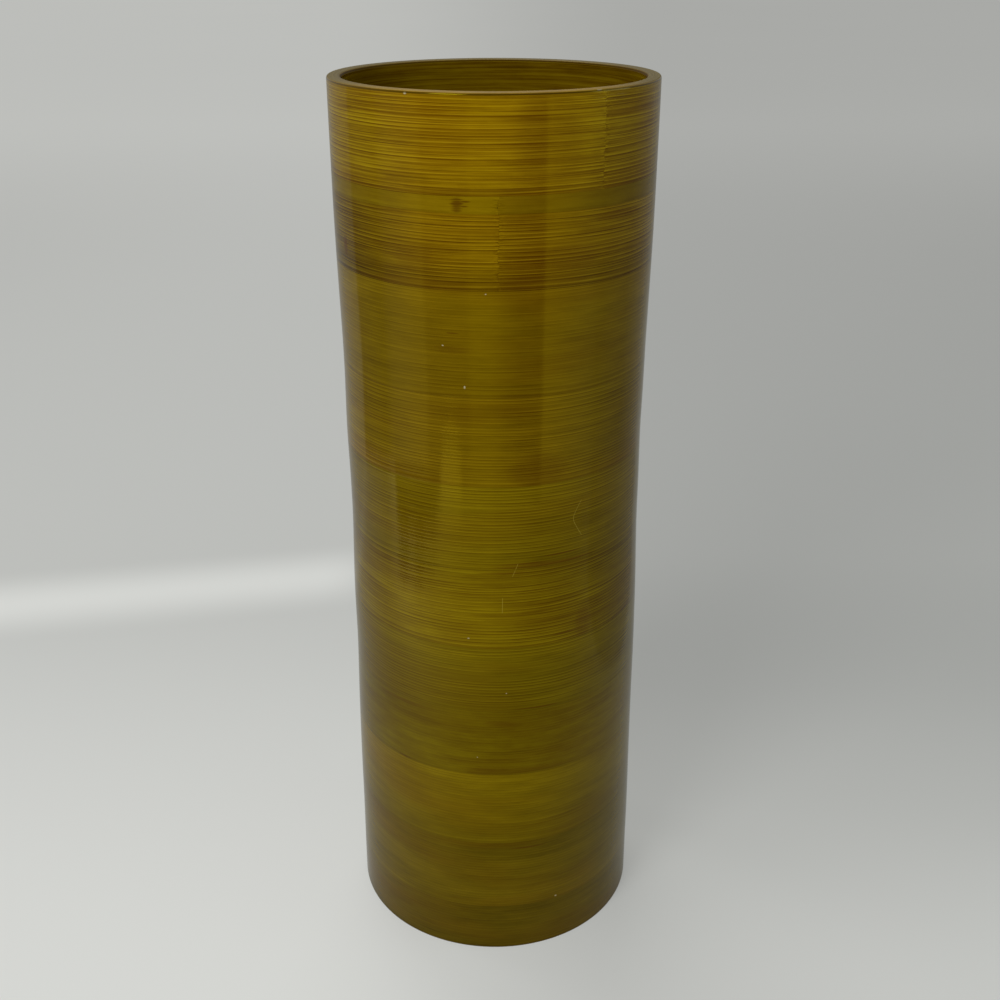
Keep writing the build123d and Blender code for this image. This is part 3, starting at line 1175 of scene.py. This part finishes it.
def build_wall():
    heights = [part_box(band.node)[1].z for band in BANDS] + [0.0]
    seams = []
    for number, height in enumerate(heights):
        level = number in (0, len(heights) - 1)
        seams.append(Seam(height, 0.0 if level else SEAM_WANDER, SEAM_SEED + number))
    for number, band in enumerate(BANDS):
        rng = np.random.default_rng(band.seed)
        rings = [outer_layer(band, seams[number + 1], seams[number], rng),
                 inner_layer(band, seams[number + 1], seams[number], rng)]
        density, bake_rows = bake_fit(rings)
        parts = MeshParts()
        base, hidden_base = BAKE_MARGIN, HIDDEN_BASE
        for ring in rings:
            base, hidden_base = parts.add_ring(ring, bake_rows, density, base, hidden_base)
        hand_over(parts.build("wound_" + band.node, Bamboo(band).build()), band)


# Stage, light and camera

CAMERA_PLACE = (0.00251, -0.5617, 0.4614)
CAMERA_TILT = math.radians(66.022)
SENSOR_WIDTH_MM = 36.0
LENS_MM = 46.354

# Pale table: its two tones in the light that falls on it, its rings, and its tint as seen
TABLE_COLOURS = ((0.245, 0.25, 0.24, 1), (0.265, 0.27, 0.26, 1))
TABLE_RADII = (0.3, 0.8, 2.0, 5.0, 12.0)
TABLE_COLUMNS = 96
TABLE_TINT = (1.0, 1.01, 0.97)

# Its painted brightness as the camera and the reflections see it, on top of that light: in the
# middle, and the painted light and shade far behind, near in front and to the right, with the
# places they lie between
TABLE_SEEN = 0.285
TABLE_FAR = 0.145
FAR = (0.5, 3.0)
TABLE_NEAR = 0.15
NEAR = (-0.1, 0.35)
TABLE_RIGHT = -0.11
RIGHT = (-0.13, 0.12)
RIGHT_FRONT = (-0.12, 0.03)
RIGHT_CENTRE_Y = -0.65

# Painted soft shadow behind the vase on the right
SOFT_SHADOW = -0.060
SHADOW_X = (-0.02, 0.06)
SHADOW_FRONT = (-0.12, 0.06)
SHADOW_BACK = (0.15, 0.38)

# Pale band of light behind the vase on the left: its line, half width and two ends
LIGHT_BAND = 0.14
BAND_Y = 0.356
BAND_SLOPE = 0.2
BAND_HALF = 0.06
BAND_LEFT = (-0.9, -0.5)
BAND_RIGHT = (-0.14, -0.06)

# The share of that brightness which the lacquer reflects: everywhere, and more of it in front
# on the left, a painted reflection that brightens the table there as the lacquer sees it
TABLE_REFLECTED = 0.45
TABLE_FRONT = 1.5
FRONT_DIRECTION = (-0.6, -0.8)
FRONT = (0.15, 0.42)
FRONT_Y = (-0.18, 0.0)


# The camera, glass and, for a share, the lacquer see the table's painted brightness. The light on
# the vase doesn't change by it.
def seen_share(n, x, y):
    path = n.new("ShaderNodeLightPath").outputs
    towards_front = n.add(n.times(x, FRONT_DIRECTION[0]), n.times(y, FRONT_DIRECTION[1]))
    front = n.times(n.smooth(towards_front, *FRONT, 0, TABLE_FRONT), n.fall(y, *FRONT_Y))
    reflected = n.times(path["Is Glossy Ray"], n.add(TABLE_REFLECTED, front))
    return n.larger(n.larger(path["Is Camera Ray"], reflected), path["Is Transmission Ray"])


def seen_brightness(n, x, y):
    away = n.away(y, n.add(n.times(x, BAND_SLOPE), BAND_Y))
    side = n.math("DIVIDE", x, n.larger(n.minus(y, RIGHT_CENTRE_Y), 0.1))
    return n.add(
        n.smooth(y, *FAR, TABLE_SEEN, TABLE_SEEN + TABLE_FAR),
        n.fall(y, *NEAR, TABLE_NEAR),
        n.times(n.fall(away, 0.0, BAND_HALF, LIGHT_BAND), n.fall(x, *BAND_RIGHT), n.smooth(x, *BAND_LEFT)),
        n.times(n.smooth(side, *RIGHT, 0, TABLE_RIGHT), n.smooth(y, *RIGHT_FRONT, 0.8, 1)),
        n.times(n.smooth(y, *SHADOW_FRONT), n.fall(y, *SHADOW_BACK, SOFT_SHADOW), n.smooth(x, *SHADOW_X)))


def table_material():
    n = Nodes("pale_table")
    place = n.object_place()
    x, y = n.split(place)[:2]
    n.put_all(n.shader, {
        "Base Color": n.mix(n.noise(place), *TABLE_COLOURS),
        "Roughness": 1.0,
        "Specular IOR Level": 0.0,
        "Emission Color": n.scaled(TABLE_TINT, seen_brightness(n, x, y)),
        "Emission Strength": seen_share(n, x, y),
    })
    return n.material


# A plain tone that glows and reflects nothing.
def glowing(n, colour):
    n.put_all(n.shader, {
        "Base Color": BLACK,
        "Specular IOR Level": 0.0,
        "Emission Color": colour,
        "Emission Strength": 1.0,
    })
    return n.material


# A ring round the table that glows and is only seen as painted reflections in the lacquer: the
# azimuth where each tone starts and the tone, from left round the front to the right.
SURROUND_RADIUS = 0.63
SURROUND_HEIGHT = 0.36
SURROUND_COLUMNS = 120
SURROUND = [
    (-112, 0.10), (-84, 0.12), (-62, 0.80), (-49, 1.05), (-47, 0.60), (-19, 0.60), (-15, 0.98), (-2, 1.02),
    (9, 0.50), (18, 0.22), (33.5, 0.18), (34.5, 1.0), (56, 0.62), (78, 0.22), (105, 0.14), (140, 0.24),
]

# Darker and lighter cards near the vase that glow and only show as painted reflections: their
# distance, their tone, and where their reflection lies on the wall, as angle, lowest and highest height.
Shade = namedtuple("Shade", "radius tone columns")
SHADES = [
    Shade(0.27, 0.20, [
        (37.8, 192, 250), (39.2, 180, 250), (41, 165, 250), (45, 152, 250), (49, 147, 250),
        (54, 144.5, 250), (59, 145.5, 250), (64, 157, 250), (67.5, 172, 250), (70, 188, 250),
    ]),
    Shade(0.43, 0.08, [
        (-38.6, 232, 250), (-38.2, 222, 250), (-37.0, 207, 250), (-35.4, 201, 250), (-34.2, 202, 250),
        (-33.6, 219, 250), (-30.8, 220, 250), (-30.2, 208, 250), (-28.6, 205, 250), (-27.2, 208, 250),
        (-26.4, 221, 250), (-22.5, 223, 250), (-20.5, 236, 250), (-19.6, 246, 250),
    ]),
    Shade(0.50, 1.95, [
        (-19.0, 246, 258), (-17.5, 239, 266), (-15.5, 238, 270), (-13.0, 240, 266), (-11.5, 246, 256),
    ]),
]


# Where the camera's view of a place on the wall goes on to, at a distance from the axis.
def reflected_place(angle_degrees, height, radius):
    a = math.radians(angle_degrees)
    z = height * MM
    step = 0.1 * MM
    out = float(wall_radius(z, a))
    rise = float(wall_radius(z + step, a) - wall_radius(z - step, a)) / (2 * step)
    turn = float(wall_radius(z, a + step) - wall_radius(z, a - step)) / (2 * step * out)
    radial = Vector((math.sin(a), -math.cos(a), 0))
    normal = (radial - turn * Vector((math.cos(a), math.sin(a), 0)) - rise * Vector((0, 0, 1))).normalized()
    wall = radial * out + Vector((0, 0, z))
    view = (wall - Vector(CAMERA_PLACE)).normalized()
    away = view - 2 * view.dot(normal) * normal
    square = away.xy.length_squared
    half = wall.xy.dot(away.xy)
    rest = wall.xy.length_squared - radius ** 2
    return wall + away * ((math.sqrt(half * half - square * rest) - half) / square)


# A card between a lower and an upper row of points, which only shows in reflections.
def reflected_card(name, low, high, material):
    count = len(low)
    faces = [(j, j + 1, count + j + 1, count + j) for j in range(count - 1)]
    card = add_object(name, low + high, faces, material)
    card.visible_camera = False
    card.visible_diffuse = False
    card.visible_transmission = False
    card.visible_volume_scatter = False
    card.visible_shadow = False


def build_shades():
    for number, shade in enumerate(SHADES):
        name = "shade_%d" % number
        low = [reflected_place(angle, bottom, shade.radius) for angle, bottom, top in shade.columns]
        high = [reflected_place(angle, top, shade.radius) for angle, bottom, top in shade.columns]
        material = glowing(Nodes(name), (shade.tone, shade.tone, shade.tone, 1))
        reflected_card(name, low, high, material)


def build_surroundings():
    n = Nodes("surroundings")
    x, y = n.split(n.object_place())[:2]
    turned = n.math("ARCTAN2", x, n.times(y, -1.0))
    share = n.add(n.times(turned, 1 / (2 * math.pi)), 0.5)
    stops = [(azimuth / 360 + 0.5, (tone, tone, tone, 1)) for azimuth, tone in SURROUND]
    turns = np.radians(np.linspace(SURROUND[0][0], SURROUND[-1][0], SURROUND_COLUMNS))
    low, high = [round_axis(SURROUND_RADIUS, turns, z).tolist() for z in (0.0, SURROUND_HEIGHT)]
    reflected_card("surroundings", low, high, glowing(n, n.ramp(share, stops)))


def build_table():
    around = TABLE_COLUMNS
    points = [(0, 0, 0)]
    for radius in TABLE_RADII:
        points += [(radius * math.cos(a), radius * math.sin(a), 0)
                   for a in np.linspace(0, 2 * math.pi, around, endpoint=False)]
    faces = [(0, 1 + j, 1 + (j + 1) % around) for j in range(around)]
    for ring in range(len(TABLE_RADII) - 1):
        first = 1 + ring * around
        for j in range(around):
            k = (j + 1) % around
            faces.append((first + j, first + around + j, first + around + k, first + k))
    add_object("table", points, faces, table_material())


# Soft lamps: place, what they point at, size, power, colour and whether reflections show them
Lamp = namedtuple("Lamp", "name place target size power colour reflected")
WHITE = (1, 1, 1)
LAMPS = [
    Lamp("key", (-0.65, -1.05, 0.95), (0, 0, 0.30), 0.6, 9.0, WHITE, True),
    Lamp("overhead", (-0.2, 0.9, 1.9), (0, 0, 0.2), 1.0, 14, WHITE, True),
    Lamp("fill", (1.25, -0.15, 0.55), (0, 0, 0.25), 0.8, 2.5, (0.9, 1.0, 0.95), True),
    Lamp("left_fill", (-1.18, 0.55, 0.80), (0, 0, 0.25), 0.4, 2.0, WHITE, False),
]
WORLD_COLOUR = (0.30, 0.30, 0.30, 1)


def build_light():
    world = bpy.data.worlds.new("studio")
    world.use_nodes = True
    background = world.node_tree.nodes["Background"]
    background.inputs["Color"].default_value = WORLD_COLOUR
    background.inputs["Strength"].default_value = 1.0
    bpy.context.scene.world = world
    for lamp in LAMPS:
        data = bpy.data.lights.new(lamp.name, "AREA")
        data.shape = "DISK"
        data.size = lamp.size
        data.energy = lamp.power
        data.color = lamp.colour
        light = bpy.data.objects.new(lamp.name, data)
        light.location = lamp.place
        direction = Vector(lamp.target) - Vector(lamp.place)
        light.rotation_euler = direction.to_track_quat("-Z", "Y").to_euler()
        light.visible_glossy = lamp.reflected
        bpy.context.scene.collection.objects.link(light)


def build_camera():
    data = bpy.data.cameras.new("camera")
    data.sensor_width = SENSOR_WIDTH_MM
    data.lens = LENS_MM
    camera = bpy.data.objects.new("camera", data)
    camera.location = CAMERA_PLACE
    camera.rotation_euler = (CAMERA_TILT, 0, 0)
    bpy.context.scene.collection.objects.link(camera)
    bpy.context.scene.camera = camera
    bpy.context.scene.view_settings.view_transform = "Standard"


build_camera()
build_table()
build_surroundings()
build_shades()
build_light()
build_wall()
build_floor()
